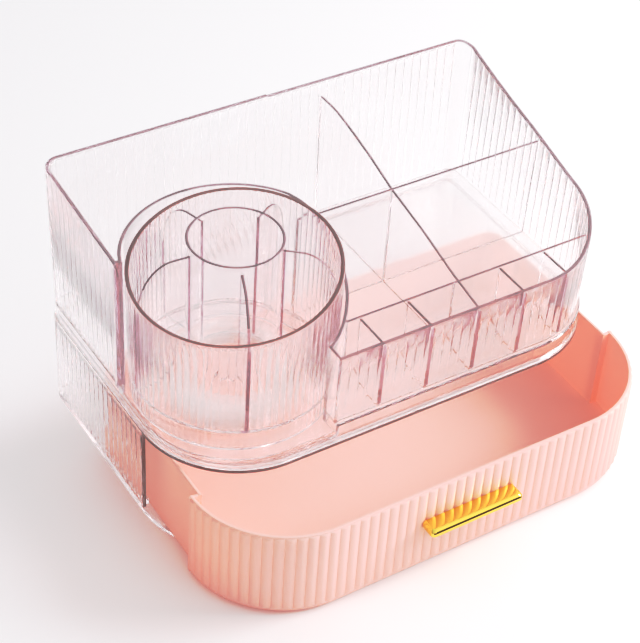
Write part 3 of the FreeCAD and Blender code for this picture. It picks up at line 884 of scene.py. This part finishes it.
def screw_steel():
    mat, nodes, links, shader = principled("screw_steel", (0.62, 0.62, 0.64), 0.3, 1.0)
    node, _ = bump(nodes, links, 1500, 0.15, 0.00005)
    links.new(node.outputs["Normal"], shader.inputs["Normal"])
    return mat


def natural_plastic():
    """Milky turntable plastic, drawn 70 to 82% see-through."""
    mat, nodes, links, shader = principled("natural_plastic", (0.93, 0.89, 0.88), 0.4)
    node, noise = bump(nodes, links, 1200, 0.1, 0.00005)
    links.new(node.outputs["Normal"], shader.inputs["Normal"])
    thin = nodes.new("ShaderNodeMapRange")
    thin.inputs["To Min"].default_value = 0.70
    thin.inputs["To Max"].default_value = 0.82
    links.new(noise.outputs["Fac"], thin.inputs["Value"])
    through = nodes.new("ShaderNodeBsdfTransparent")
    mix = nodes.new("ShaderNodeMixShader")
    out = [n for n in nodes if n.type == "OUTPUT_MATERIAL"][0]
    links.new(thin.outputs["Result"], mix.inputs["Fac"])
    links.new(shader.outputs[0], mix.inputs[1])
    links.new(through.outputs[0], mix.inputs[2])
    links.new(mix.outputs[0], out.inputs["Surface"])
    return mat


# ------------------------------------------------------------------ the object
clear = clear_plastic("clear_plastic", haze=0.022)
frosted = clear_plastic("clear_floor", 0.20, 0.24, "ShaderNodeBsdfDiffuse")
deck = clear_plastic("clear_deck", 0.05, 0.14, "ShaderNodeBsdfDiffuse")
# Edge colours: the plastic's tint seen edge-on, with painted shade on the rims and ends of the clear
# pieces.
edge = edge_plastic("clear_edge", (0.33, 0.265, 0.28), 0.42, 0.12)
seam = edge_plastic("clear_seam", (0.46, 0.39, 0.44), 0.92, 0.74)
brown = edge_plastic("clear_dark_edge", (0.23, 0.145, 0.135), 0.30, 0.08)
pink = pink_plastic()
gold = gold_plating()


def place(obj, body, slot, mats, *nodes):
    """Gives a piece its materials and body, and hides the CAD nodes it replaces. slot is not used."""
    obj.data.materials.clear()
    for each in mats:
        obj.data.materials.append(each)
    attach(obj, body)
    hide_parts(*nodes)


def paint(obj, choose):
    """Gives each face the material index that choose(centre in mm, normal) returns."""
    for face in obj.data.polygons:
        face.material_index = choose(face.center / MM, face.normal)
    return obj


def add_seams(obj, seams):
    """Adds bars of denser plastic to a clear piece."""
    for seam_bar in seams:
        for each in clears:
            seam_bar.data.materials.append(each)
        for face in seam_bar.data.polygons:
            face.material_index = SEAM
    return join(obj, seams)


def housing_face(centre, normal):
    """Dark edge colour, partly painted shade, on the deck's rounded front and on the walls' front
    ends; haze on the deck.
    """
    if abs(centre.z - DECK_TOP) < 0.1 and normal.z > 0.9:
        return DECK
    if centre.y > SIDE_END_Y + 1:
        return CLEAR
    deck_rim = DECK_UNDER - 0.1 < centre.z < DECK_TOP + 0.1 and abs(normal.z) < 0.95
    wall_end = BOTTOM_T < centre.z < DECK_UNDER and normal.y < -0.9
    return DARK_EDGE if deck_rim or wall_end else CLEAR


def tray_face(centre, normal):
    """Edge colour, partly painted shade, on rims and on the left wall's end; frosting on the floor."""
    if centre.z > 120 and normal.z > 0.3:
        return EDGE
    upright = abs(normal.z) < 0.5 and centre.z > TRAY_FLOOR
    post = centre.x < CUP_X - 40 and LEFT_END_Y - 1 < centre.y < LEFT_END_Y + 0.5
    if upright and post and normal.y < -0.3:
        return SEAM if normal.y < -0.95 else EDGE
    stub = centre.x < STUB_X + 0.5 and centre.y < CUP_Y - 50
    if upright and stub and -0.95 < normal.x < -0.3:
        return EDGE
    on_floor = normal.z > 0.9 and abs(centre.z - TRAY_FLOOR) < 0.1
    return FROSTED if on_floor else CLEAR


def cup_face(centre, normal):
    """Dark edge colour, partly painted shade, on the cup's rim and a lighter one on its tube and fins.
    """
    if centre.z < 135 or normal.z < 0.4:
        return CLEAR
    r = math.hypot(centre.x - CUP_X, centre.y - CUP_Y)
    return DARK_EDGE if r > FIN_OUTER_R - 1 else EDGE


def handle_face(_centre, normal):
    """Painted reflection: a dark line painted along the rounding between the handle's chamfer and its
    front.
    """
    return 1 if normal.y < -0.7 and 0.15 < normal.z < 0.62 else 0


clears = [clear, edge, frosted, seam, deck, brown]
CLEAR, EDGE, FROSTED, SEAM, DECK, DARK_EDGE = range(len(clears))
housing = make_housing()
housing.name = "drawer_housing_visual"
place(housing, "base", "clear_plastic", clears, "drawer_housing")
paint(housing, housing_face)
tray = make_tray()
place(tray, "base", "clear_plastic", clears, "upper_tray")
add_seams(paint(tray, tray_face), divider_seams())
cup = make_cup()
place(cup, "cup", "clear_plastic", clears, "rotating_cup")
add_seams(paint(cup, cup_face), fin_seams())
place(make_drawer(), "drawer", "pink_plastic", [pink], "drawer")
handle = make_handle()
# The second material is a painted reflection: the handle's dark reflection line.
place(handle, "drawer", "gold_metal", [gold, gold_painted_reflection()], "drawer_handle")
paint(handle, handle_face)

milky = natural_plastic()
finishes = {
    "handle_screws": screw_steel(),
    "bearing_balls": milky,
    "bearing_cage": milky,
    "pivot_cap": milky,
    "lower_race": milky,
    "upper_race": milky,
}
for node, mat in finishes.items():
    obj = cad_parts[node]
    obj.data.materials.clear()
    obj.data.materials.append(mat)
    shade(obj)


# ------------------------------------------------------------------ studio
def floor_material():
    mat, nodes, links, shader = principled("studio_floor", (0.93, 0.92, 0.93), 0.55, 0, 0.2)
    node, _ = bump(nodes, links, 400, 0.02, 0.0002)
    links.new(node.outputs["Normal"], shader.inputs["Normal"])
    return mat


FLOOR_REACH = 6000               # from the middle to each edge
FLOOR_Z = -0.15


def make_floor():
    corners = ((-1, -1), (1, -1), (1, 1), (-1, 1))
    floor = new_object("studio_floor", [(x * FLOOR_REACH, y * FLOOR_REACH, FLOOR_Z)
                                        for x, y in corners], [(0, 1, 2, 3)])
    floor.data.materials.append(floor_material())


def area_light(name, place_mm, target_mm, size, power):
    """Rectangular lamp at one point that faces another."""
    data = bpy.data.lights.new(name, "AREA")
    data.shape = "RECTANGLE"
    data.size, data.size_y = size
    data.energy = power
    lamp = bpy.data.objects.new(name, data)
    bpy.context.scene.collection.objects.link(lamp)
    here, there = Vector(place_mm) * MM, Vector(target_mm) * MM
    lamp.location = here
    lamp.rotation_euler = (there - here).to_track_quat("-Z", "Y").to_euler()
    return lamp


KEY_AT = (1200, -560, 900)
KEY_AIM = (0, -40, 40)
KEY_SIZE = (0.7, 0.7)            # metres
KEY_POWER = 16                   # watts
SKY_STOPS = (                    # height from the horizon, 0 to 1, and colour
    (0.0, (0.03, 0.02, 0.02)), (0.025, (0.03, 0.02, 0.02)), (0.04, (0.62, 0.60, 0.62)),
    (0.45, (0.90, 0.89, 0.91)), (0.999, (1.0, 0.99, 1.0)))
SKY_TOWARD_KEY = (0.83, -0.56, 0)
TONE_CURVE = ((0.15, 0.11), (0.33, 0.27), (0.45, 0.49), (0.55, 0.635), (0.68, 0.735), (0.85, 0.885))
DOME_DIM = 0.31                  # strength of the light from the side away from the key
DOME_BRIGHT = 1.28


def studio_light():
    area_light("key", KEY_AT, KEY_AIM, KEY_SIZE, KEY_POWER)
    world = bpy.data.worlds.new("studio")
    world.use_nodes = True
    bpy.context.scene.world = world
    nodes, links = world.node_tree.nodes, world.node_tree.links
    coords = nodes.new("ShaderNodeTexCoord")
    parts = nodes.new("ShaderNodeSeparateXYZ")
    ramp = nodes.new("ShaderNodeValToRGB")
    for place_at, colour in SKY_STOPS:
        stop = ramp.color_ramp.elements.new(place_at)
        stop.color = (*colour, 1)
    # A new ramp has a stop at each end: the first goes, and the last takes the sky's top colour.
    ramp.color_ramp.elements.remove(ramp.color_ramp.elements[0])
    ramp.color_ramp.elements[-1].color = (*SKY_STOPS[-1][1], 1)
    links.new(coords.outputs["Generated"], parts.inputs[0])
    links.new(parts.outputs["Z"], ramp.inputs["Fac"])
    background = nodes["Background"]
    links.new(ramp.outputs["Color"], background.inputs["Color"])
    toward_key = nodes.new("ShaderNodeVectorMath")
    toward_key.operation = "DOT_PRODUCT"
    toward_key.inputs[1].default_value = SKY_TOWARD_KEY
    strength = nodes.new("ShaderNodeMapRange")
    strength.inputs["From Min"].default_value = -1
    strength.inputs["To Min"].default_value = DOME_DIM
    strength.inputs["To Max"].default_value = DOME_BRIGHT
    links.new(coords.outputs["Generated"], toward_key.inputs[0])
    links.new(toward_key.outputs["Value"], strength.inputs["Value"])
    links.new(strength.outputs["Result"], background.inputs["Strength"])


# Camera, solved together with the organizer's proportions.
CAMERA_AT = (-488.52, -703.20, 790.64)
CAMERA_YAW = math.radians(-34.151)
CAMERA_PITCH = math.radians(-40.293)
CAMERA_ROLL = math.radians(3.850)
CAMERA_LENS = 101.66


def make_camera():
    """Camera in front on the left, looking down on the organizer."""
    ahead_flat = Vector((-math.sin(CAMERA_YAW), math.cos(CAMERA_YAW), 0))
    right = Vector((math.cos(CAMERA_YAW), math.sin(CAMERA_YAW), 0))
    ahead = ahead_flat * math.cos(CAMERA_PITCH) + Vector((0, 0, math.sin(CAMERA_PITCH)))
    up = right.cross(ahead)
    rolled_right = right * math.cos(CAMERA_ROLL) + up * math.sin(CAMERA_ROLL)
    rolled_up = up * math.cos(CAMERA_ROLL) - right * math.sin(CAMERA_ROLL)
    data = bpy.data.cameras.new("camera")
    data.lens = CAMERA_LENS
    data.sensor_width = 36.0
    camera = bpy.data.objects.new("camera", data)
    bpy.context.scene.collection.objects.link(camera)
    turn = Matrix((rolled_right, rolled_up, -ahead)).transposed().to_4x4()
    camera.matrix_world = Matrix.Translation(Vector(CAMERA_AT) * MM) @ turn
    bpy.context.scene.camera = camera


def set_contrast(view):
    """Gentle S-shaped tone curve: deeper shades and lighter pale tones."""
    view.use_curve_mapping = True
    curve = view.curve_mapping.curves[3]
    for x, y in TONE_CURVE:
        curve.points.new(x, y)
    view.curve_mapping.update()


make_floor()
studio_light()
make_camera()
scene = bpy.context.scene
scene.view_settings.view_transform = "Standard"
set_contrast(scene.view_settings)
scene.cycles.max_bounces = 48
scene.cycles.transmission_bounces = 40
scene.cycles.transparent_max_bounces = 40
scene.cycles.glossy_bounces = 40
scene.cycles.diffuse_bounces = 4
scene.cycles.use_denoising = True
